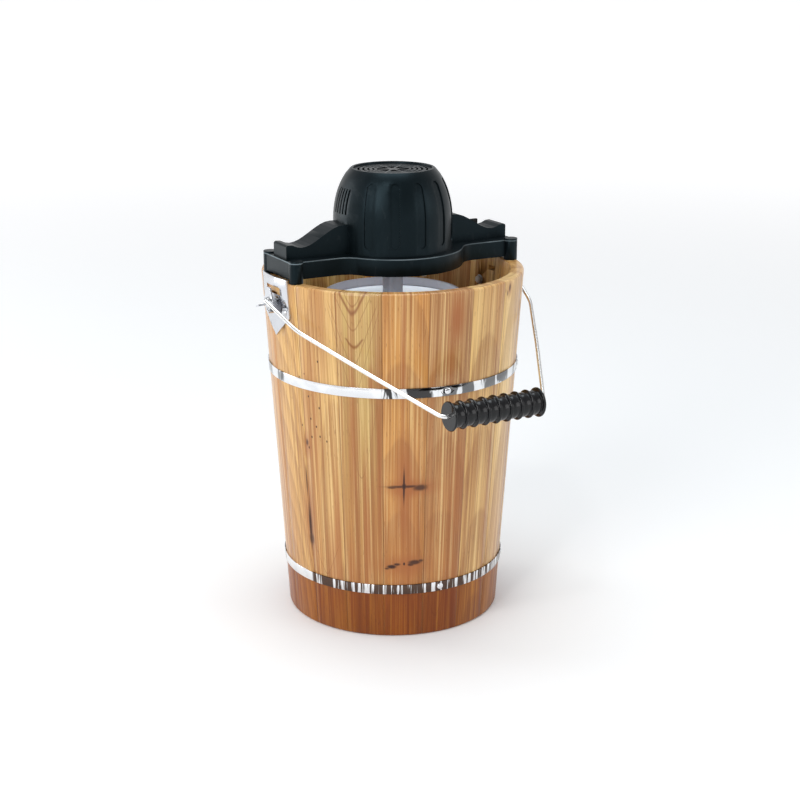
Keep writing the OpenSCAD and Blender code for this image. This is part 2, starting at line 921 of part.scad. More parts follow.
// the hollow of the dome, up to the thick ring that carries the grille
module dome_inside() {
    ceiling = grille_z - shell_t;
    top_t = (ceiling - bucket_h - dome_waist) / (dome_h + 0.5 - dome_waist);
    rotate_extrude()
        polygon(concat(
            [[0, skirt_z - 1], [dome_r - shell_t, skirt_z - 1]],
            [for (i = [0:8]) dome_curve(i / 8 * top_t, shell_t)],
            [[0, ceiling]]));
}

module flutes() {
    flute_low = bucket_h + 28;
    flute_high = bucket_h + 92;
    difference() {
        for (back = [0, 180])
            for (i = [-2:2])
                rotate([0, 0, back - 90 + i * flute_pitch])
                    along_x(dome_r / 2, dome_r + 20)
                        for (part = [0, 1])
                            flute_outline(part, flute_low, flute_high);
        dome(flute_d);
    }
}

module flute_outline(part, low, high) {
    half = flute_w / 2;
    if (part == 0) {
        translate([-half, low + half])
            square([flute_w, high - low - flute_w]);
    } else {
        for (z = [low + half, high - half])
            translate([0, z])
                circle(r = half, $fn = 32);
    }
}

module side_vents() {
    for (s = [0, 180])
        for (i = [-2:2])
            rotate([0, 0, s + i * 5.2])
                translate([dome_r / 2, -1.1, bucket_h + arm_root_h + 9])
                    cube([dome_r, 2.2, 25]);
}

module motor_housing() {
    color(black_plastic)
        difference() {
            union() {
                difference() {
                    housing_outside();
                    housing_inside();
                }
                base_bosses();
            }
            boss_holes();
            gland_hole();
        }
}

module housing_outside() {
    translate([0, 0, skirt_z])
        linear_extrude(skirt_h)
            base_outline();
    foot_places()
        rod(foot_r, bucket_h + foot_clear, bucket_h + foot_top, $fn = 48);
    arms();
    difference() {
        dome();
        flutes();
    }
}

module housing_inside() {
    translate([0, 0, skirt_z - 1])
        linear_extrude(skirt_h - shell_t + 1)
            base_outline(shell_t);
    arms(shell_t);
    dome_inside();
    rod(ledge_r, dome_lip - 12, dome_lip + 5);
    rod(grille_r + cover_gap, grille_z, dome_lip + 5);
    side_vents();
}

module base_bosses() {
    for (p = boss_places)
        translate([p[0], p[1], cover_top])
            cylinder(r = base_boss_r, h = boss_height(p), $fn = 48);
}

// a boss reaches the underside of the arm or of the flange above it
function boss_height(p) =
    (p[0] == 0 ? flange_top - shell_t : bucket_h + arm_height(abs(p[0]) + base_boss_r) - shell_t)
        - cover_top + 1;

module boss_holes() {
    for (p = boss_places)
        translate([p[0], p[1], skirt_z - 3])
            cylinder(r = base_screw_r, h = 3 + cover_t + 10, $fn = 24);
}

module gland_hole() {
    translate([gland_x, 0, gland_z])
        rotate([-90, 0, 0])
            cylinder(r = gland_r, h = arm_w, $fn = 48);
}

module cord_gland() {
    wall_y = arm_w / 2;
    color([0.05, 0.05, 0.05])
        difference() {
            union() {
                translate([gland_x, 0, gland_z])
                    rotate([-90, 0, 0]) {
                        rod(gland_r, wall_y - shell_t - 2, wall_y + 1, $fn = 48);
                        rod(gland_r - 0.4, wall_y, wall_y + 7, $fn = 48);
                        rod(gland_r + gland_ring, wall_y + 4.4, wall_y + 6, $fn = 48);
                    }
                translate([gland_x - 4.5, wall_y, flange_top + 0.3])
                    cube([9, 3.2, keeper_h]);
            }
            translate([gland_x, 0, gland_z])
                rotate([-90, 0, 0])
                    rod(3, 0, wall_y * 2, $fn = 48);
        }
}

// ---------- grille ----------

module grille_slots() {
    spokes = 8;
    ring_w = 2.2;
    difference() {
        union() {
            for (r = [20, 25, 30, 35])
                difference() {
                    circle(r = r + ring_w / 2);
                    circle(r = r - ring_w / 2);
                }
            difference() {
                circle(r = 16.5);
                circle(r = 6);
            }
        }
        for (i = [0:spokes - 1])
            rotate([0, 0, 360 / spokes * i])
                translate([0, -1.1])
                    square([grille_r, 2.2]);
    }
}

module top_grille() {
    color(black_plastic)
        translate([0, 0, grille_z])
            linear_extrude(grille_t)
                difference() {
                    circle(r = grille_r);
                    grille_slots();
                }
}

// ---------- base cover and frame ----------

module pillar_places() {
    for (a = [60, 120, 240, 300])
        rotate([0, 0, a])
            translate([pillar_ring, 0, 0])
                children();
}

module base_cover() {
    color(black_plastic)
        difference() {
            translate([0, 0, skirt_z])
                linear_extrude(cover_t)
                    base_outline(shell_t + cover_gap);
            rod(bush_r, skirt_z - 1, cover_top + 1);
            boss_holes();
            idler_place()
                rod(axle_r, skirt_z - 1, cover_top + 1, $fn = 32);
            foot_places()
                rod(foot_r + cover_gap, skirt_z - 1, cover_top + 1, $fn = 48);
        }
}

module base_screws() {
    color(steel)
        for (p = boss_places)
            translate([p[0], p[1], 0]) {
                rod(base_screw_r, skirt_z, cover_top + 9.5, $fn = 24);
                rod(3, skirt_z - 1.8, skirt_z, $fn = 32);
            }
}

module idler_place() {
    translate([gear_reach, 0, 0])
        children();
}

module gear_pillars() {
    color(steel)
        pillar_places()
            rod(pillar_r, cover_top, plate2_z, $fn = 32);
}

module lock_plate() {
    socket = square_w + 2 * loose_gap;
    color(steel)
        difference() {
            union() {
                rod(pillar_ring + pillar_r + 1, lock_z, lock_z + lock_t);
                rod(boss_r, socket_z, lock_z + 0.1);
            }
            translate([-socket / 2, -socket / 2, socket_z - 1])
                cube([socket, socket, lock_z - socket_z + 1.2]);
            pillar_places()
                rod(pillar_r, lock_z - 1, lock_z + lock_t + 1, $fn = 32);
            idler_place()
                rod(gear_m * pinion_teeth / 2 + 2.5, lock_z - 1, lock_z + lock_t + 1, $fn = 48);
        }
}

module gear_plate() {
    color(steel)
        difference() {
            rod(pillar_ring + pillar_r + 1, plate2_z, plate2_z + plate2_t);
            rod(6, plate2_z - 1, plate2_z + plate2_t + 1, $fn = 48);
            idler_place()
                rod(axle_r, plate2_z - 1, plate2_z + plate2_t + 1, $fn = 32);
            bolt_places()
                rod(bolt_r, plate2_z - 1, plate2_z + plate2_t + 1, $fn = 32);
        }
}

module idler_axle() {
    color(steel)
        idler_place()
            rod(axle_r, skirt_z, plate2_z + plate2_t, $fn = 48);
}

module output_bush() {
    color("DarkGoldenrod")
        difference() {
            union() {
                rod(bush_r, skirt_z, cover_top);
                rod(bush_r + 1.5, cover_top, cover_top + level_gap - 0.4);
            }
            rod(hub_r + run_gap, skirt_z - 1, cover_top + 3);
        }
}

// ---------- gears ----------

module output_gear() {
    hex_gap = loose_gap / cos(30);
    color("Ivory")
        difference() {
            union() {
                translate([0, 0, wheel_z])
                    rotate([0, 0, 180 / wheel_teeth])
                        linear_extrude(wheel_t)
                            gear_outline(wheel_teeth);
                rod(hub_r, drive_z, wheel_z + 1);
            }
            translate([0, 0, drive_z - 1])
                cylinder(r = neck_hex_r + hex_gap, h = recess_z - drive_z + 1.1, $fn = 6);
            rod(boss_r + 1.2, recess_z, wheel_z + wheel_t + 1);
        }
}

module idler_gear() {
    color("Ivory")
        idler_place()
            difference() {
                union() {
                    translate([0, 0, idler_z])
                        linear_extrude(wheel_t)
                            gear_outline(wheel_teeth);
                    translate([0, 0, wheel_z])
                        linear_extrude(idler_z - wheel_z + 0.5)
                            gear_outline(pinion_teeth);
                }
                rod(axle_r + run_gap, wheel_z - 1, idler_top + 1, $fn = 48);
            }
}

module rotor_pinion() {
    color(steel)
        difference() {
            translate([0, 0, idler_z - 0.3])
                rotate([0, 0, 180 / pinion_teeth])
                    linear_extrude(wheel_t + 0.8)
                        gear_outline(pinion_teeth);
            rod(shaft_r, idler_z - 2, idler_top + 2, $fn = 48);
        }
}

// ---------- electric motor ----------

module rotor_shaft() {
    color(steel)
        rod(shaft_r, idler_z - 0.3, fan_z + fan_h, $fn = 48);
}

module rotor_core() {
    color("SlateGray")
        tube(rotor_r, shaft_r, stack_z, stack_z + stack_h);
}

module cooling_fan() {
    blades = 9;
    color("DimGray")
        difference() {
            union() {
                rod(fan_r, fan_z, fan_z + 1.4);
                rod(7, fan_z - 3, fan_z + fan_h);
                for (i = [0:blades - 1])
                    rotate([0, 0, 360 / blades * i])
                        translate([5, -0.7, fan_z])
                            cube([fan_r - 6, 1.4, fan_h - 1]);
            }
            rod(shaft_r, fan_z - 5, fan_z + fan_h + 1, $fn = 48);
        }
}

module bolt_places() {
    for (a = [0:90:270])
        rotate([0, 0, a])
            translate([bolt_ring, 0, 0])
                children();
}

module stator_core() {
    color("Gray")
        difference() {
            tube(stator_r, rotor_r + coil_gap, stack_z, stack_z + stack_h);
            bolt_places()
                rod(bolt_r, stack_z - 1, stack_z + stack_h + 1, $fn = 32);
        }
}

module stator_coils() {
    color("Chocolate")
        for (z = [stack_z - coil_h, stack_z + stack_h])
            tube(bolt_ring - bolt_r - 2, rotor_r + 2, z, z + coil_h);
}

module motor_bridge() {
    color(steel)
        difference() {
            union() {
                for (a = [0, 90])
                    rotate([0, 0, a])
                        translate([-bolt_ring - 5, -7, bridge_z])
                            cube([2 * bolt_ring + 10, 14, bridge_t]);
                rod(11, bridge_z, bridge_z + bridge_t);
            }
            rod(6, bridge_z - 1, bridge_z + bridge_t + 1, $fn = 48);
            bolt_places()
                rod(bolt_r, bridge_z - 1, bridge_z + bridge_t + 1, $fn = 32);
        }
}

module motor_bolts() {
    color(steel)
        bolt_places() {
            rod(bolt_r, plate2_z, bridge_z + bridge_t, $fn = 32);
            translate([0, 0, bridge_z + bridge_t])
                cylinder(d = 7 / cos(30), h = 2.6, $fn = 6);
        }
}

module bearing(z0, t) {
    color("DarkGoldenrod")
        difference() {
            union() {
                rod(6, z0, z0 + t, $fn = 48);
                rod(8, z0 + t, z0 + t + 2, $fn = 48);
            }
            rod(shaft_r + run_gap, z0 - 1, z0 + t + 3, $fn = 48);
        }
}

for (i = [0:stave_count - 1])
    stave(i);
bucket_floor();
hoop(upper_hoop_z);  // hoop_upper
hoop(lower_hoop_z);  // hoop_lower
hoop_tacks();
ear(-1);  // ear_left
ear(1);  // ear_right
ear_screws();
ear_nuts();
pivot_plate();
pivot_screws();
canister();
canister_lid();
dasher();
scraper(-1);  // scraper_left
scraper(1);  // scraper_right
bail_wire();
bail_grip();
motor_housing();
top_grille();
base_cover();
base_screws();
cord_gland();
gear_pillars();
lock_plate();
gear_plate();
idler_axle();
output_bush();
output_gear();
idler_gear();
rotor_pinion();
rotor_shaft();
rotor_core();
cooling_fan();
stator_core();
stator_coils();
motor_bridge();
motor_bolts();
bearing(plate2_z, plate2_t);  // lower_bearing
bearing(bridge_z, bridge_t);  // upper_bearing
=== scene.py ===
"""Looks for the electric ice cream maker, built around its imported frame. Metres, +Z up."""

import json
import math

import bpy
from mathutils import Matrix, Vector


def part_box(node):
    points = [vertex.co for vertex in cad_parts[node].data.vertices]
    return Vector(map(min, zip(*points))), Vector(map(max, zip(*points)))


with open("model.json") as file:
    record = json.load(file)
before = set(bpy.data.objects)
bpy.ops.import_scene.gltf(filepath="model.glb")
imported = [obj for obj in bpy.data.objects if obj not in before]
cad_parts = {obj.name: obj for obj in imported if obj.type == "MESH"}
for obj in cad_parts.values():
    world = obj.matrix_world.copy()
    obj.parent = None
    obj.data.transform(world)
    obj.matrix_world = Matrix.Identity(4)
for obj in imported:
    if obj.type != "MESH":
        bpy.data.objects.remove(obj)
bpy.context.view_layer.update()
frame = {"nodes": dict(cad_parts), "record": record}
nodes = frame["nodes"]
MM = 0.001
FIRST_JOINT_DEGREES = -3
MEAN_RADIUS = 0.125
SKIRT_HEIGHT = 17.6 * MM
NECK_OUTER_RADIUS = 16.5 * MM
NECK_INNER_RADIUS = 13.5 * MM

# places read from the frame
stave_names = sorted(n for n in nodes if n.startswith("stave_"))
stave_angle = 2 * math.pi / len(stave_names)
first_joint = math.radians(FIRST_JOINT_DEGREES)
flange_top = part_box("base_cover")[0][2] + SKIRT_HEIGHT
lid_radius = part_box("canister_lid")[1][0]
lower_hoop_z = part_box("hoop_lower")[0][2]
hoop_split_z = (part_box("hoop_lower")[1][2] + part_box("hoop_upper")[0][2]) / 2


# ---------- node helpers ----------

class Board:
    """A node tree with short ways to place nodes and join them."""

    def __init__(self, tree):
        self.tree = tree
        self.count = 0

    def add(self, kind, inputs=None, **props):
        node = self.tree.nodes.new(kind)
        node.location = (200 * (self.count % 12), -220 * (self.count // 12))
        self.count += 1
        for name, value in props.items():
            setattr(node, name, value)
        for name, value in (inputs or {}).items():
            self.feed(node.inputs[name], value)
        return node

    def feed(self, socket, value):
        if isinstance(value, bpy.types.NodeSocket):
            self.tree.links.new(value, socket)
        elif isinstance(value, (tuple, list)) and socket.type == "RGBA" and len(value) == 3:
            socket.default_value = (*value, 1)
        else:
            socket.default_value = value

    def math(self, op, a, b=0.0):
        return self.add("ShaderNodeMath", {0: a, 1: b}, operation=op).outputs[0]

    def plus(self, a, b):
        return self.math("ADD", a, b)

    def minus(self, a, b):
        return self.math("SUBTRACT", a, b)

    def times(self, a, b):
        return self.math("MULTIPLY", a, b)

    def length(self, a, b):
        """The length of the diagonal over two sides."""
        return self.math("SQRT", self.plus(self.times(a, a), self.times(b, b)))

    def span(self, value, low, high, to_low=0.0, to_high=1.0, soft=True):
        """Value carried from low..high to to_low..to_high, held at the ends."""
        kind = "SMOOTHSTEP" if soft else "LINEAR"
        node = self.add("ShaderNodeMapRange", interpolation_type=kind)
        for name, v in (("Value", value), ("From Min", low), ("From Max", high),
                        ("To Min", to_low), ("To Max", to_high)):
            self.feed(node.inputs[name], v)
        return node.outputs["Result"]

    def mix(self, factor, a, b, blend="MIX"):
        node = self.add("ShaderNodeMix", data_type="RGBA", blend_type=blend)
        for i, v in ((0, factor), (6, a), (7, b)):
            self.feed(node.inputs[i], v)
        return node.outputs[2]

    def noise(self, vector, scale, detail=3.0, rough=0.55, distortion=0.0):
        node = self.add("ShaderNodeTexNoise", {
            "Vector": vector, "Scale": scale, "Detail": detail,
            "Roughness": rough, "Distortion": distortion})
        return node.outputs["Fac"]

    def vector(self, x, y, z):
        return self.add("ShaderNodeCombineXYZ", {0: x, 1: y, 2: z}).outputs[0]

    def split(self, vector):
        node = self.add("ShaderNodeSeparateXYZ", {0: vector})
        return node.outputs[0], node.outputs[1], node.outputs[2]

    def stretch(self, vector, scale):
        return self.add("ShaderNodeMapping", {"Vector": vector, "Scale": scale}).outputs[0]


def new_group(name, inputs, outputs):
    """A shader node group; inputs and outputs are (name, socket kind, default)."""
    tree = bpy.data.node_groups.new(name, "ShaderNodeTree")
    for label, kind, default in inputs:
        socket = tree.interface.new_socket(label, in_out="INPUT", socket_type=f"NodeSocket{kind}")
        if default is not None:
            socket.default_value = (*default, 1) if kind == "Color" else default
    for label, kind in outputs:
        tree.interface.new_socket(label, in_out="OUTPUT", socket_type=f"NodeSocket{kind}")
    board = Board(tree)
    entry = board.add("NodeGroupInput")
    exit_ = board.add("NodeGroupOutput")
    return board, entry.outputs, exit_.inputs


def place_group(board, name, inputs):
    node = board.add("ShaderNodeGroup", node_tree=bpy.data.node_groups[name])
    for label, value in inputs.items():
        board.feed(node.inputs[label], value)
    return node.outputs


# ---------- shared effects ----------

def make_stave_place_group():
    """Where a point lies in its own stave."""
    b, _, out = new_group("stave_place", [], [
        ("Across", "Float"), ("Through", "Float"), ("Height", "Float"), ("Turn", "Float"),
        ("Plank", "Float"), ("Seed", "Float"), ("Joint", "Float")])
    x, y, z = b.split(b.add("ShaderNodeTexCoord").outputs["Object"])
    turn = b.math("ARCTAN2", y, x)
    steps = b.math("DIVIDE", b.minus(turn, first_joint), stave_angle)
    plank = b.math("FLOOR", steps)
    centre = b.plus(b.times(b.plus(plank, 0.5), stave_angle), first_joint)
    cos_c, sin_c = b.math("COSINE", centre), b.math("SINE", centre)
    across = b.minus(b.times(y, cos_c), b.times(x, sin_c))
    through = b.plus(b.times(x, cos_c), b.times(y, sin_c))
    number = b.math("FLOORED_MODULO", plank, len(stave_names))
    seed = b.add("ShaderNodeTexWhiteNoise", {"W": b.plus(number, 11.3)},
                 noise_dimensions="1D").outputs["Value"]
    part = b.math("FRACT", steps)
    near = b.math("MINIMUM", part, b.minus(1.0, part))
    joint = b.times(b.times(near, stave_angle), through)
    b.feed(out["Across"], across)
    b.feed(out["Through"], through)
    b.feed(out["Height"], z)
    b.feed(out["Turn"], b.math("DEGREES", turn))
    b.feed(out["Plank"], number)
    b.feed(out["Seed"], seed)
    b.feed(out["Joint"], joint)


def make_grain_group():
    """Growth rings, fibres and streaks of a sawn board that runs along Z."""
    b, inp, out = new_group("board_grain", [
        ("Across", "Float", 0.0), ("Through", "Float", 0.0), ("Height", "Float", 0.0),
        ("Seed", "Float", 0.0), ("Ring Width", "Float", 0.006)], [
        ("Rings", "Float"), ("Fibres", "Float"), ("Lines", "Float"), ("Streaks", "Float"),
        ("Bands", "Float"), ("Pores", "Float")])
    seed = inp["Seed"]
    shift = b.times(seed, 7.0)
    place = b.vector(b.plus(inp["Across"], shift), inp["Through"],
                     b.plus(inp["Height"], shift))
    wander = b.noise(b.stretch(place, (14, 14, 2.6)), 1.0, detail=2.0)
    side = b.plus(inp["Across"], b.span(seed, 0, 1, -0.03, 0.03, soft=False))
    side = b.plus(side, b.times(b.minus(wander, 0.5), 0.03))
    lean = b.times(inp["Height"], b.span(seed, 0, 1, -0.10, 0.12, soft=False))
    heart = b.span(seed, 0, 1, 0.05, 0.095, soft=False)
    deep = b.plus(b.minus(inp["Through"], heart), lean)
    ring_r = b.length(side, deep)
    phase = b.math("FRACT", b.math("DIVIDE", ring_r, inp["Ring Width"]))
    rings = b.times(b.span(phase, 0.15, 0.86), b.span(phase, 1.0, 0.9))
    b.feed(out["Rings"], rings)
    b.feed(out["Fibres"], b.noise(b.stretch(place, (900, 60, 5)), 1.0, detail=2.0))
    b.feed(out["Lines"], b.noise(
        b.stretch(place, (300, 22, 1.6)), 1.0, detail=2.5, rough=0.6, distortion=0.3))
    b.feed(out["Streaks"], b.noise(b.stretch(place, (75, 10, 2.6)), 1.0, detail=3.0, distortion=0.5))
    b.feed(out["Bands"], b.noise(b.stretch(place, (24, 7, 1.7)), 1.0, detail=2.0, distortion=0.6))
    pores = b.noise(b.stretch(place, (1400, 1400, 75)), 1.0, detail=1.0)
    b.feed(out["Pores"], b.span(pores, 0.66, 0.76))


def make_mark_group():
    """A soft-edged oval mark on the bucket's face: 1 inside, 0 outside."""
    b, inp, out = new_group("wood_mark", [
        ("Turn", "Float", 0.0), ("Height", "Float", 0.0), ("Ragged", "Float", 0.5),
        ("Mark Turn", "Float", 0.0), ("Mark Height", "Float", 0.0),
        ("Half Width", "Float", 0.002), ("Half Height", "Float", 0.002), ("Edge", "Float", 0.5)],
        [("Mask", "Float")])
    arc = b.times(b.minus(inp["Turn"], inp["Mark Turn"]), math.radians(1) * MEAN_RADIUS)
    up = b.minus(inp["Height"], inp["Mark Height"])
    across = b.math("DIVIDE", arc, inp["Half Width"])
    along = b.math("DIVIDE", up, inp["Half Height"])
    far = b.length(across, along)
    far = b.plus(far, b.times(b.minus(inp["Ragged"], 0.5), 0.9))
    b.feed(out["Mask"], b.span(far, b.plus(1.0, inp["Edge"]), b.minus(1.0, inp["Edge"])))


def make_chevron_group():
    """A V of darker grain that points down, drawn as a soft line."""
    b, inp, out = new_group("wood_chevron", [
        ("Turn", "Float", 0.0), ("Height", "Float", 0.0), ("Ragged", "Float", 0.5),
        ("Tip Turn", "Float", 0.0), ("Tip Height", "Float", 0.0),
        ("Slope", "Float", 1.8), ("Reach", "Float", 0.02), ("Line", "Float", 0.0016)],
        [("Mask", "Float")])
    arc = b.times(b.minus(inp["Turn"], inp["Tip Turn"]), math.radians(1) * MEAN_RADIUS)
    arc = b.plus(arc, b.times(b.minus(inp["Ragged"], 0.5), 0.003))
    up = b.minus(inp["Height"], inp["Tip Height"])
    tip_round = 0.004
    bowed = b.length(arc, tip_round)
    bowed = b.minus(bowed, tip_round)
    off = b.math("ABSOLUTE", b.minus(up, b.times(bowed, inp["Slope"])))
    line = b.span(off, inp["Line"], 0.0)
    inside = b.span(up, inp["Reach"], b.times(inp["Reach"], 0.75))
    b.feed(out["Mask"], b.times(line, inside))


def make_wear_group():
    """Smudges and fine scratches for a polished or moulded surface."""
    b, inp, out = new_group("surface_wear", [
        ("Smudge Scale", "Float", 40.0), ("Scratch Scale", "Float", 300.0),
        ("Stipple Scale", "Float", 1500.0)],
        [("Smudge", "Float"), ("Scratch", "Float"), ("Stipple", "Float")])
    place = b.add("ShaderNodeTexCoord").outputs["Object"]
    smudge = b.noise(place, inp["Smudge Scale"], detail=4.0, distortion=0.6)
    b.feed(out["Smudge"], b.span(smudge, 0.38, 0.68))
    thin = b.noise(b.stretch(place, (1, 0.08, 0.3)), inp["Scratch Scale"], detail=2.0, distortion=0.2)
    b.feed(out["Scratch"], b.span(thin, 0.63, 0.7))
    b.feed(out["Stipple"], b.noise(place, inp["Stipple Scale"], detail=2.0))


def place_wear(b, smudge, scratch, stipple):
    return place_group(b, "surface_wear", {
        "Smudge Scale": smudge, "Scratch Scale": scratch, "Stipple Scale": stipple})


def make_groups():
    make_stave_place_group()
    make_grain_group()
    make_mark_group()
    make_chevron_group()
    make_wear_group()


# ---------- materials ----------

def srgb(r, g, b):
    """A colour given as 0 to 255 display values, as the shader's linear values."""
    def one(v):
        v /= 255
        return v / 12.92 if v <= 0.04045 else ((v + 0.055) / 1.055) ** 2.4
    return tuple(one(v) for v in (r, g, b))


def new_material(name, **fixed):
    """A material with its Principled shader's own sockets set; returns its board and shader."""
    mat = bpy.data.materials.new(name)
    mat.use_nodes = True
    tree = mat.node_tree
    shader = tree.nodes["Principled BSDF"]
    board = Board(tree)
    for label, value in fixed.items():
        socket = shader.inputs[label.replace("_", " ")]
        board.feed(socket, value)
    return mat, board, shader


def bump(board, shader, height, strength, distance):
    node = board.add("ShaderNodeBump", {"Height": height, "Strength": strength, "Distance": distance})
    board.feed(shader.inputs["Normal"], node.outputs[0])


# tone of each stave, from the one at +X round to the left
HONEY = srgb(214, 168, 98)
AMBER = srgb(201, 144, 76)
TAN = srgb(207, 163, 102)
OLIVE = srgb(192, 161, 98)
ROSE = srgb(184, 139, 90)
PALE = srgb(224, 184, 118)
STRAW = srgb(234, 198, 134)
STAVE_TONES = [HONEY, ROSE, TAN, AMBER, OLIVE, HONEY, TAN, ROSE, AMBER,
               HONEY, TAN, OLIVE, AMBER, ROSE, PALE, STRAW, TAN, HONEY]

# dark marks: turn in degrees, height, half width, half height in mm, edge, strength
DARK_MARKS = [
    (-113.3, 167, 1.0, 17, 0.6, 1.0), (-113.2, 166.8, 18, 1.3, 0.7, 0.85),
    (-119, 166.2, 5, 1.4, 0.6, 0.8),
    (-113.3, 167, 2.2, 3.2, 0.5, 1.0), (-105.6, 165, 6.5, 3.4, 0.45, 0.85),
    (-119.2, 79, 5.2, 2.1, 0.5, 1.0), (-116.4, 81.6, 3.4, 1.5, 0.5, 0.9),
    (-121.4, 77, 2.6, 1.3, 0.5, 0.8), (-107.4, 83.2, 6.8, 2.4, 0.5, 0.9),
    (-109.6, 81, 3.2, 1.6, 0.5, 0.85), (-104.6, 84.6, 3.0, 1.6, 0.5, 0.8),
    (-112.9, 82, 1.1, 1.7, 0.4, 1.0),
    (-163.4, 112, 2.2, 22, 0.7, 1.0), (-164.2, 160, 1.0, 14, 0.6, 0.75), (-163.2, 97, 3.4, 7, 0.6, 0.9),
    (-162, 203, 1.7, 3.4, 0.6, 0.8), (-161, 198, 0.9, 1.6, 0.5, 0.9),
    (-58.7, 357, 1.5, 3.5, 0.6, 0.8), (-60.5, 352, 1.0, 2.5, 0.6, 0.6),
    (38, 240, 2.2, 3.0, 0.5, 0.9), (38, 240, 0.7, 14, 0.6, 0.6), (94, 128, 3.4, 2.2, 0.5, 0.85),
    (141, 300, 1.4, 9, 0.6, 0.7), (8, 96, 2.6, 2.2, 0.5, 0.85)]
# warm brown stains round and between them
WARM_MARKS = [
    (-113.3, 176, 8, 38, 0.85, 0.8), (-110, 165, 22, 8, 0.8, 0.8), (-113.3, 136, 4, 34, 0.85, 0.55),
    (-113, 80, 22, 10, 0.85, 0.75), (-114, 60, 10, 16, 0.85, 0.4),
    (-113, 95, 20, 62, 0.9, 0.38), (-164, 118, 8, 36, 0.8, 0.55), (-162, 200, 5, 12, 0.8, 0.6),
    (-137, 215, 3.5, 80, 0.85, 0.6), (-131, 130, 3, 70, 0.85, 0.6), (-139, 60, 5, 40, 0.85, 0.5),
    (-150, 320, 4, 60, 0.85, 0.45), (-156, 230, 3, 60, 0.85, 0.4), (-124.5, 200, 2.2, 110, 0.85, 0.5),
    (-101, 240, 2.4, 80, 0.85, 0.4), (-78, 210, 3, 90, 0.85, 0.35), (-66, 120, 3, 80, 0.85, 0.35),
    (-90.6, 338, 7, 24, 0.75, 0.85), (-93, 300, 3.5, 30, 0.8, 0.45), (-86, 150, 9, 60, 0.9, 0.45),
    (-88, 40, 10, 34, 0.9, 0.55), (-114, 300, 2.2, 80, 0.8, 0.7), (-128, 275, 3, 16, 0.8, 0.7),
    (-146, 120, 4, 60, 0.9, 0.7), (-149, 60, 7, 50, 0.9, 0.55), (-58.5, 356, 5, 8, 0.8, 0.6),
    (38, 240, 7, 26, 0.8, 0.6), (94, 128, 9, 10, 0.8, 0.6), (8, 96, 8, 9, 0.8, 0.6),
    (141, 296, 5, 30, 0.8, 0.5)]
# V grain: tip turn, tip height, slope, reach, line width
CHEVRONS = [
    (-135.4, 345, 2.3, 30, 4.4, 0.8), (-135.2, 352, 2.6, 20, 2.0, 0.5),
    (-134.8, 311, 1.7, 10, 3.2, 0.75), (-135.2, 328, 2.6, 40, 2.0, 0.45),
    (-135.6, 292, 3.2, 70, 2.2, 0.45), (-135.4, 262, 4.2, 100, 2.4, 0.4),
    (-154, 62, 2.6, 40, 1.5, 0.45), (-133, 175, 5.5, 90, 1.7, 0.4), (-96, 20, 3.6, 60, 1.6, 0.35),
    (64, 210, 2.8, 70, 1.8, 0.5), (64, 190, 3.0, 80, 1.6, 0.4), (24, 60, 3.2, 80, 1.8, 0.45),
    (126, 90, 3.0, 70, 1.8, 0.5), (165, 250, 2.6, 60, 1.8, 0.45)]


def layer_marks(b, colour, turn, height, ragged):
    """Lays the stains, V grain and knots over the boards' colour; returns it with the dark mask."""
    warm, dark_brown, black = srgb(158, 92, 46), srgb(128, 74, 38), srgb(52, 22, 10)
    for mark_turn, z, w, h, edge, strength in WARM_MARKS:
        mask = place_group(b, "wood_mark", {
            "Turn": turn, "Height": height, "Ragged": ragged, "Mark Turn": mark_turn,
            "Mark Height": z * MM, "Half Width": w * MM, "Half Height": h * MM, "Edge": edge})[0]
        colour = b.mix(b.times(mask, strength), colour, warm)
    for tip_turn, z, slope, reach, line, strength in CHEVRONS:
        mask = place_group(b, "wood_chevron", {
            "Turn": turn, "Height": height, "Ragged": ragged, "Tip Turn": tip_turn,
            "Tip Height": z * MM, "Slope": slope, "Reach": reach * MM, "Line": line * MM})[0]
        colour = b.mix(b.times(mask, strength), colour, dark_brown)
    total = 0.0
    for mark_turn, z, w, h, edge, strength in DARK_MARKS:
        mask = place_group(b, "wood_mark", {
            "Turn": turn, "Height": height, "Ragged": ragged, "Mark Turn": mark_turn,
            "Mark Height": z * MM, "Half Width": w * MM, "Half Height": h * MM, "Edge": edge})[0]
        total = b.math("MAXIMUM", total, b.times(mask, strength))
    return b.mix(total, colour, black), total


def worm_holes(b, place):
    """Small pin holes, only on one stretch of board."""
    cells = b.add("ShaderNodeTexVoronoi", {
        "Vector": b.vector(b.times(place["Turn"], 0.36), 0.0,
                           b.times(place["Height"], 110.0)), "Scale": 1.0})
    hole = b.span(cells.outputs["Distance"], 0.19, 0.1)
    lucky = b.math("GREATER_THAN", b.split(cells.outputs["Color"])[0], 0.6)
    side = b.times(b.span(place["Turn"], -167, -164), b.span(place["Turn"], -147, -150))
    tall = b.times(b.span(place["Height"], 0.17, 0.2), b.span(place["Height"], 0.33, 0.3))
    return b.times(b.times(hole, lucky), b.times(side, tall))


def stave_tone(b, plank):
    """The tone of each stave, picked by its number."""
    part = b.math("DIVIDE", b.plus(plank, 0.5), len(STAVE_TONES))
    ramp = b.add("ShaderNodeValToRGB", {"Fac": part})
    ramp.color_ramp.interpolation = "CONSTANT"
    stops = ramp.color_ramp.elements
    while len(stops) < len(STAVE_TONES):
        stops.new(1.0)
    for i, tone in enumerate(STAVE_TONES):
        stops[i].position = i / len(STAVE_TONES)
        stops[i].color = (*tone, 1)
    return ramp.outputs["Color"]


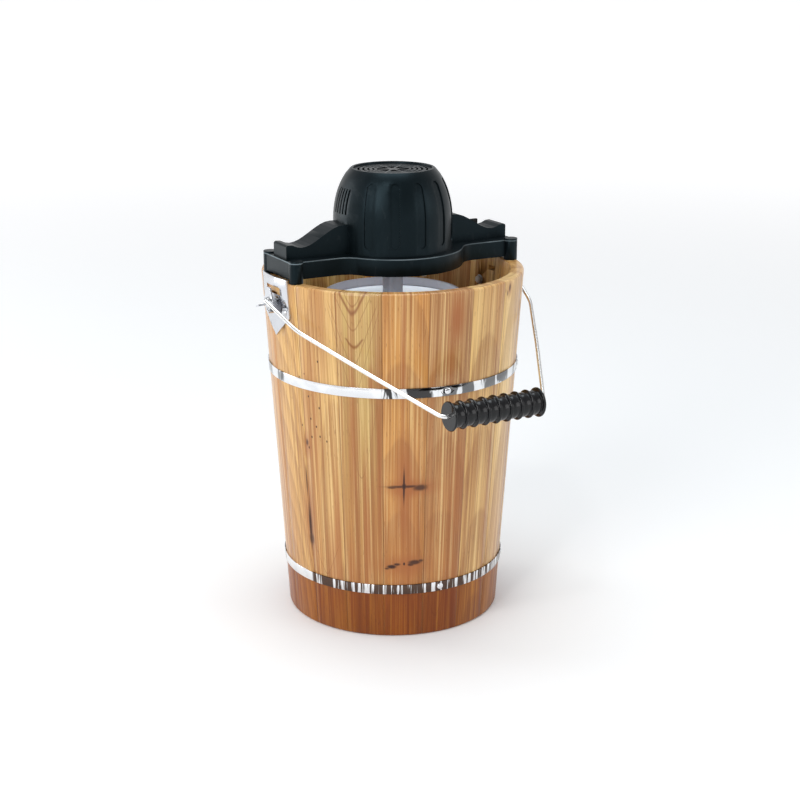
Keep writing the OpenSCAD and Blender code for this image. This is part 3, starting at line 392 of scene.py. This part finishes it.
def stave_wood():
    mat, b, shader = new_material("stave_wood", Coat_Roughness=0.1, Specular_IOR_Level=0.25)
    place = place_group(b, "stave_place", {})
    height = place["Height"]
    grain = place_group(b, "board_grain", {
        "Across": place["Across"], "Through": place["Through"], "Height": height,
        "Seed": place["Seed"], "Ring Width": 0.0062})
    colour = stave_tone(b, place["Plank"])
    low = b.times(b.span(height, 0.27, 0.06), b.span(grain["Bands"], 0.3, 0.6, 0.25, 0.7))
    colour = b.mix(low, colour, srgb(176, 114, 52))
    colour = b.mix(b.span(grain["Bands"], 0.44, 0.68, 0, 0.6), colour, srgb(178, 118, 64))
    colour = b.mix(b.span(grain["Bands"], 0.44, 0.26, 0, 0.5), colour, srgb(226, 188, 120))
    colour = b.mix(b.span(grain["Streaks"], 0.53, 0.70, 0, 0.6), colour, srgb(158, 98, 50))
    colour = b.mix(b.span(grain["Streaks"], 0.42, 0.28, 0, 0.5), colour, srgb(230, 196, 130))
    colour = b.mix(b.times(grain["Rings"], 0.42), colour, srgb(150, 96, 50))
    colour = b.mix(b.span(grain["Lines"], 0.52, 0.68, 0, 0.55), colour, srgb(140, 84, 40))
    colour = b.mix(b.span(grain["Lines"], 0.46, 0.31, 0, 0.45), colour, srgb(242, 212, 152))
    colour = b.mix(b.span(grain["Fibres"], 0.5, 0.7, 0, 0.4), colour, srgb(134, 82, 42))
    colour = b.mix(b.span(grain["Fibres"], 0.48, 0.3, 0, 0.34), colour, srgb(242, 212, 154))
    colour = b.mix(b.times(grain["Pores"], 0.5), colour, srgb(108, 64, 32))
    colour, dark = layer_marks(b, colour, place["Turn"], height, grain["Streaks"])
    pin = worm_holes(b, place)
    colour = b.mix(b.times(pin, 0.9), colour, srgb(60, 30, 16))
    # painted shade: from the lower hoop's bottom edge down, the wood is multiplied darker and browner,
    # varied by the grain bands
    foot = b.span(height, lower_hoop_z + 0.008, lower_hoop_z - 0.002, 0, 1)
    foot_shade = b.mix(grain["Bands"], (0.60, 0.36, 0.13), (0.48, 0.26, 0.06))
    colour = b.mix(foot, colour, b.mix(1.0, colour, foot_shade, "MULTIPLY"))
    b.feed(shader.inputs["Coat Weight"], b.span(foot, 0, 1, 0.35, 0.12))
    glue = b.span(place["Joint"], 0.0007, 0.0002, 0, 0.5)
    colour = b.mix(glue, colour, srgb(132, 84, 44))
    b.feed(shader.inputs["Base Color"], colour)
    rough = b.span(grain["Fibres"], 0.2, 0.8, 0.3, 0.46)
    b.feed(shader.inputs["Roughness"], b.plus(rough, b.times(dark, 0.15)))
    groove = b.span(place["Joint"], 0.0, 0.0005)
    relief = b.plus(b.times(grain["Fibres"], 0.35), b.times(grain["Rings"], -0.25))
    relief = b.minus(b.plus(relief, groove), b.times(b.plus(pin, dark), 0.6))
    bump(b, shader, relief, 0.3, 0.0003)
    return mat


def floor_wood():
    mat, b, shader = new_material("floor_wood", Coat_Weight=0.3, Coat_Roughness=0.25)
    x, y, z = b.split(b.add("ShaderNodeTexCoord").outputs["Object"])
    grain = place_group(b, "board_grain", {
        "Across": x, "Through": z, "Height": y, "Seed": 0.37, "Ring Width": 0.007})
    board_edge = b.math("PINGPONG", b.plus(x, 0.02), 0.032)
    colour = b.mix(b.span(grain["Bands"], 0.35, 0.65), srgb(205, 160, 108), srgb(176, 122, 78))
    colour = b.mix(b.times(grain["Rings"], 0.4), colour, srgb(140, 92, 54))
    colour = b.mix(b.span(grain["Fibres"], 0.45, 0.8, 0, 0.35), colour, srgb(120, 78, 46))
    colour = b.mix(b.span(board_edge, 0.0008, 0.0, 0, 0.8), colour, srgb(92, 56, 30))
    b.feed(shader.inputs["Base Color"], colour)
    b.feed(shader.inputs["Roughness"], b.span(grain["Fibres"], 0.2, 0.8, 0.42, 0.6))
    bump(b, shader, b.plus(grain["Fibres"], b.span(board_edge, 0.0, 0.0008)), 0.3, 0.0003)
    return mat


def polished_metal(name, colour, low, high, scratch=0.03, **fixed):
    """Bright smooth metal with faint smudges and hairline scratches."""
    mat, b, shader = new_material(name, Metallic=1.0, **fixed)
    wear = place_wear(b, 22.0, 420.0, 2500.0)
    tint = b.mix(wear["Smudge"], colour, tuple(v * 0.9 for v in colour))
    scratches = b.times(wear["Scratch"], scratch)
    b.feed(shader.inputs["Base Color"], b.mix(scratches, tint, (0.25, 0.25, 0.26)))
    rough = b.span(wear["Smudge"], 0, 1, low, high, soft=False)
    b.feed(shader.inputs["Roughness"], b.plus(rough, scratches))
    bump(b, shader, wear["Stipple"], 0.01, 0.0001)
    return mat


# painted dark reflections along the hoops: turn from, turn to, strength
UPPER_REFLECTIONS = [(-180, -176, 0.8), (178, 180, 0.8), (152, 170, 0.7),
                     (-123, -101, 0.95), (-98, -55, 0.8), (-48, -27, 0.6),
                     (10, 36, 0.8), (62, 84, 0.9), (104, 140, 0.7)]
LOWER_REFLECTIONS = [(-164, -24, 0.95), (-10, 40, 0.8), (58, 96, 0.9), (112, 164, 0.85)]


def hoop_chrome():
    """Chromed strip with reflections of a dark and bright room painted into its colour in upright bands."""
    mat, b, shader = new_material("hoop_chrome", Metallic=1.0)
    place = b.add("ShaderNodeTexCoord").outputs["Object"]
    x, y, z = b.split(place)
    turn = b.math("DEGREES", b.math("ARCTAN2", y, x))
    upper = b.math("GREATER_THAN", z, hoop_split_z)
    wide = b.noise(
        b.vector(b.times(turn, 0.16), b.times(z, 26.0), 0.0), 1.0, distortion=0.8)
    narrow = b.noise(
        b.vector(b.times(turn, 0.55), b.times(z, 14.0), 3.0), 1.0, distortion=0.3)
    total = 0.0
    for windows, here in ((UPPER_REFLECTIONS, upper), (LOWER_REFLECTIONS, b.minus(1.0, upper))):
        for start, stop, strength in windows:
            inside = b.times(b.span(turn, start - 1, start + 1), b.span(turn, stop + 1, stop - 1))
            inside = b.times(b.times(inside, here), strength)
            total = b.math("MAXIMUM", total, inside)
    # painted reflections: the listed turns are darkened in noisy upright bands, dark brown on the lower
    # hoop and dark grey on the upper
    bands = b.mix(upper, b.span(narrow, 0.42, 0.49), b.span(wide, 0.42, 0.48))
    dark = b.times(total, bands)
    shade = b.mix(upper, srgb(70, 44, 26), srgb(38, 36, 36))
    wear = place_wear(b, 30.0, 420.0, 2500.0)
    tint = b.mix(wear["Smudge"], (0.86, 0.87, 0.88), (0.74, 0.75, 0.77))
    b.feed(shader.inputs["Base Color"], b.mix(dark, tint, shade))
    b.feed(shader.inputs["Roughness"], b.span(wear["Smudge"], 0, 1, 0.1, 0.18, soft=False))
    bump(b, shader, wear["Stipple"], 0.01, 0.0001)
    return mat


def brushed_metal(name, colour, scale=(40, 40, 900), low=0.28, high=0.45):
    """Machined or rolled metal with fine lines across it."""
    mat, b, shader = new_material(name, Metallic=1.0)
    place = b.add("ShaderNodeTexCoord").outputs["Object"]
    lines = b.noise(b.stretch(place, scale), 1.0, detail=3.0)
    wear = place_wear(b, 55.0, 300.0, 2000.0)
    tint = b.mix(b.span(lines, 0.3, 0.7), tuple(v * 0.82 for v in colour), colour)
    b.feed(shader.inputs["Base Color"], b.mix(b.times(wear["Smudge"], 0.15), tint, (0.3, 0.3, 0.3)))
    rough = b.span(lines, 0.2, 0.8, low, high)
    b.feed(shader.inputs["Roughness"], b.plus(rough, b.times(wear["Smudge"], 0.06)))
    bump(b, shader, lines, 0.08, 0.0001)
    return mat


def moulded_plastic(name, dark, light, low, high, stipple=0.25, grain=1400.0, lip_z=None, **fixed):
    """Moulded plastic with a fine stipple and uneven sheen, and a painted highlight line just under lip_z.
    """
    mat, b, shader = new_material(name, **fixed)
    wear = place_wear(b, 26.0, 260.0, grain)
    colour = b.mix(wear["Smudge"], dark, light)
    colour = b.mix(b.times(wear["Scratch"], 0.12), colour, tuple(min(1, v * 2 + 0.03) for v in light))
    if lip_z is not None:
        # painted highlight: a pale line on the rounded edge just under lip_z, stronger or weaker with the
        # smudges
        z = b.split(b.add("ShaderNodeTexCoord").outputs["Object"])[2]
        below_top = b.span(z, lip_z - 0.04 * MM, lip_z - 0.1 * MM)
        line = b.times(b.span(z, lip_z - 1.4 * MM, lip_z - 0.8 * MM), below_top)
        lip_highlight = b.times(line, b.span(wear["Smudge"], 0, 1, 0.85, 0.5))
        colour = b.mix(lip_highlight, colour, srgb(112, 124, 130))
    b.feed(shader.inputs["Base Color"], colour)
    rough = b.span(wear["Smudge"], 0, 1, low, high, soft=False)
    b.feed(shader.inputs["Roughness"], b.plus(rough, b.times(wear["Stipple"], 0.06)))
    bump(b, shader, wear["Stipple"], stipple, 0.00012)
    return mat


def lid_plastic():
    mat, b, shader = new_material(
        "lid_plastic", Subsurface_Weight=0.1, Subsurface_Scale=0.01, Emission_Strength=1.0)
    wear = place_wear(b, 30.0, 350.0, 1600.0)
    x, y, z = b.split(b.add("ShaderNodeTexCoord").outputs["Object"])
    radius = b.length(x, y)
    wall = b.span(radius, lid_radius - 4.5 * MM, lid_radius - 3 * MM)
    neck = b.span(radius, NECK_OUTER_RADIUS, NECK_INNER_RADIUS)
    base = b.mix(wear["Smudge"], srgb(236, 240, 246), srgb(224, 230, 238))
    base = b.mix(b.times(wall, 0.8), base, srgb(176, 178, 186))
    base = b.mix(b.times(neck, 0.85), base, srgb(138, 140, 150))
    b.feed(shader.inputs["Base Color"], base)
    # painted light: a glow of the plastic's own, strongest on the lid's floor and faint on its wall and
    # neck, stands in for light that the milky plastic passes on from its far side
    glow = b.mix(wear["Smudge"], (0.46, 0.50, 0.54), (0.36, 0.40, 0.44))
    glow = b.mix(wall, glow, (0.06, 0.06, 0.07))
    glow = b.mix(neck, glow, (0.02, 0.022, 0.03))
    b.feed(shader.inputs["Emission Color"], glow)
    b.feed(shader.inputs["Roughness"], b.span(wear["Smudge"], 0, 1, 0.24, 0.36, soft=False))
    bump(b, shader, wear["Stipple"], 0.08, 0.0001)
    return mat


def winding_copper():
    """Enamelled wire laid in turns."""
    mat, b, shader = new_material("winding_copper", Metallic=0.85, Coat_Weight=0.5)
    x, y, z = b.split(b.add("ShaderNodeTexCoord").outputs["Object"])
    turn = b.math("ARCTAN2", y, x)
    turns = b.math("SINE", b.times(turn, 260.0))
    layers = b.math("SINE", b.times(z, 9000.0))
    b.feed(shader.inputs["Base Color"], b.mix(b.span(turns, -1, 1), srgb(120, 58, 26), srgb(206, 118, 62)))
    b.feed(shader.inputs["Roughness"], b.span(layers, -1, 1, 0.28, 0.42))
    bump(b, shader, b.plus(turns, b.times(layers, 0.4)), 0.6, 0.0003)
    return mat


def lamination_steel():
    """A stack of thin varnished sheets."""
    mat, b, shader = new_material("lamination_steel", Metallic=0.9)
    place = b.add("ShaderNodeTexCoord").outputs["Object"]
    z = b.split(place)[2]
    sheets = b.math("SINE", b.times(z, 2 * math.pi / 0.0007))
    rust = b.noise(place, 120.0, detail=4.0)
    colour = b.mix(b.span(sheets, -0.6, 0.6), srgb(70, 72, 76), srgb(138, 141, 146))
    b.feed(shader.inputs["Base Color"], b.mix(b.span(rust, 0.6, 0.75, 0, 0.4), colour, srgb(110, 72, 48)))
    b.feed(shader.inputs["Roughness"], b.span(rust, 0.3, 0.7, 0.35, 0.55))
    bump(b, shader, sheets, 0.4, 0.0002)
    return mat


def make_materials():
    black = dict(Specular_IOR_Level=0.2, Specular_Tint=(0.55, 0.85, 1.0))
    glossy = dict(Specular_IOR_Level=0.2, Coat_Weight=0.35, Coat_Roughness=0.05)
    return {
        "stave_wood": stave_wood(),
        "floor_wood": floor_wood(),
        "hoop_chrome": hoop_chrome(),
        "tack_steel": polished_metal("tack_steel", (0.78, 0.79, 0.81), 0.12, 0.22),
        "ear_chrome": polished_metal("ear_chrome", (0.66, 0.67, 0.70), 0.10, 0.22),
        "fastener_steel": brushed_metal("fastener_steel", (0.66, 0.67, 0.69)),
        "pivot_steel": brushed_metal("pivot_steel", (0.6, 0.61, 0.63)),
        "canister_aluminium": brushed_metal(
            "canister_aluminium", (0.50, 0.51, 0.53), (30, 30, 700), 0.26, 0.4),
        "lid_plastic": lid_plastic(),
        "dasher_plastic": moulded_plastic(
            "dasher_plastic", srgb(222, 222, 216), srgb(236, 236, 232), 0.36, 0.48),
        "scraper_plastic": moulded_plastic(
            "scraper_plastic", srgb(232, 232, 226), srgb(242, 242, 238), 0.38, 0.5),
        "bail_steel": polished_metal("bail_steel", (0.87, 0.87, 0.86), 0.22, 0.3),
        "grip_plastic": moulded_plastic(
            "grip_plastic", srgb(3, 4, 6), srgb(7, 8, 11), 0.14, 0.2, 0.02, **glossy),
        "housing_plastic": moulded_plastic(
            "housing_plastic", srgb(4, 8, 10), srgb(8, 13, 16), 0.3, 0.38, 0.08, lip_z=flange_top, **black),
        "grille_plastic": moulded_plastic(
            "grille_plastic", srgb(10, 13, 16), srgb(16, 20, 24), 0.28, 0.36, 0.08, **black),
        "cover_plastic": moulded_plastic(
            "cover_plastic", srgb(11, 12, 14), srgb(18, 19, 21), 0.5, 0.62, 0.35, **black),
        "gland_rubber": moulded_plastic(
            "gland_rubber", srgb(14, 14, 15), srgb(22, 22, 23), 0.6, 0.75, 0.4),
        "frame_steel": brushed_metal("frame_steel", (0.62, 0.63, 0.65), (500, 30, 30)),
        "shaft_steel": brushed_metal("shaft_steel", (0.68, 0.69, 0.71), (30, 30, 1500), 0.16, 0.28),
        "bearing_bronze": brushed_metal(
            "bearing_bronze", (0.56, 0.37, 0.17), (900, 900, 900), 0.35, 0.5),
        "gear_nylon": moulded_plastic(
            "gear_nylon", srgb(226, 220, 198), srgb(236, 231, 212), 0.34, 0.46),
        "lamination_steel": lamination_steel(),
        "fan_plastic": moulded_plastic("fan_plastic", srgb(40, 41, 44), srgb(54, 55, 58), 0.4, 0.52),
        "winding_copper": winding_copper(),
    }


def paint(obj, mat):
    obj.data.materials.clear()
    obj.data.materials.append(mat)


# width in millimetres and steps of the rounded edges, by the start of a node's name
SOFT_EDGES = [("motor_housing", 0.9, 3), ("top_grille", 0.5, 2), ("stave_", 0.35, 2),
              ("ear_left", 0.3, 2), ("ear_right", 0.3, 2), ("hoop_", 0.2, 2),
              ("canister_lid", 0.5, 2), ("canister", 0.4, 2),
              ("bail_grip", 0.5, 3), ("dasher", 0.6, 2), ("scraper", 0.4, 2)]


def soften(obj, width, steps):
    weld = obj.modifiers.new("joined", "WELD")
    weld.merge_threshold = 1e-6
    edges = obj.modifiers.new("soft_edges", "BEVEL")
    edges.width = width * MM
    edges.segments = steps
    edges.limit_method = "ANGLE"
    edges.angle_limit = math.radians(38)
    edges.harden_normals = True


def dress_frame(materials):
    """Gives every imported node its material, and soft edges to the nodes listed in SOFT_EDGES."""
    slot_of = {s["node"]: s["material_slot"] for s in frame["record"]["subparts"]}
    for name, obj in nodes.items():
        paint(obj, materials[slot_of[name]])
        for start, width, steps in SOFT_EDGES:
            if name.startswith(start):
                soften(obj, width, steps)
                break


# ---------- studio ----------

def make_camera():
    data = bpy.data.cameras.new("camera")
    data.sensor_width = 36
    data.lens = 71.9
    data.shift_x = 0.0091
    data.clip_end = 100
    cam = bpy.data.objects.new("camera", data)
    cam.location = (-0.7715, -1.4208, 0.7068)
    cam.rotation_euler = (math.radians(90 - 16.753), 0, math.radians(-28.5))
    bpy.context.scene.collection.objects.link(cam)
    bpy.context.scene.camera = cam


def area_light(name, place, look_at, size, power, colour=(1, 1, 1), height=None):
    data = bpy.data.lights.new(name, "AREA")
    data.shape = "RECTANGLE"
    data.size = size
    data.size_y = height or size
    data.energy = power
    data.color = colour
    light = bpy.data.objects.new(name, data)
    light.location = place
    aim = Vector(look_at) - Vector(place)
    light.rotation_euler = aim.to_track_quat("-Z", "Y").to_euler()
    bpy.context.scene.collection.objects.link(light)
    return light


def make_floor():
    mesh = bpy.data.meshes.new("studio_floor")
    half = 30
    corners = [(-half, -half, 0), (half, -half, 0), (half, half, 0), (-half, half, 0)]
    mesh.from_pydata(corners, [], [(0, 1, 2, 3)])
    floor = bpy.data.objects.new("studio_floor", mesh)
    bpy.context.scene.collection.objects.link(floor)
    mat, b, shader = new_material(
        "studio_floor", Base_Color=(0.92, 0.92, 0.92), Specular_IOR_Level=0.15, Emission_Strength=1.0)
    speck = b.noise(b.add("ShaderNodeTexCoord").outputs["Object"], 30.0)
    b.feed(shader.inputs["Roughness"], b.span(speck, 0.3, 0.7, 0.75, 0.85))
    x, y, z = b.split(b.add("ShaderNodeTexCoord").outputs["Object"])
    glow = b.mix(b.span(b.length(x, y), 0.5, 4.0), (0, 0, 0), (0.5, 0.5, 0.5))
    b.feed(shader.inputs["Emission Color"], glow)
    paint(floor, mat)


def make_world():
    world = bpy.data.worlds.new("studio")
    bpy.context.scene.world = world
    world.use_nodes = True
    back = world.node_tree.nodes["Background"]
    b = Board(world.node_tree)
    # the wall is brightest where it meets the floor
    up = b.split(b.add("ShaderNodeTexCoord").outputs["Generated"])[2]
    b.feed(back.inputs["Color"], b.mix(b.span(up, 0.03, 0.5), (1, 1, 1), (0.5, 0.5, 0.51)))


def make_studio():
    make_camera()
    make_world()
    make_floor()
    area_light("key_left", (-1.9, -1.0, 1.5), (0, 0, 0.25), 0.9, 22, height=1.4)
    area_light("fill_right", (1.6, -1.9, 1.1), (0, 0, 0.25), 1.2, 7, height=1.2)
    area_light("top", (0.1, 0.2, 2.4), (0, 0, 0.3), 1.6, 26, colour=(0.86, 0.95, 1.0))
    area_light("spark", (-0.9, -0.9, 1.9), (0, -0.1, 0.3), 0.13, 3)
    area_light("back_left", (-1.7, 1.9, 0.8), (0, 0, 0.25), 0.8, 14, height=1.5)
    scene = bpy.context.scene
    scene.view_settings.view_transform = "Standard"


make_groups()
finishes = make_materials()
dress_frame(finishes)
make_studio()
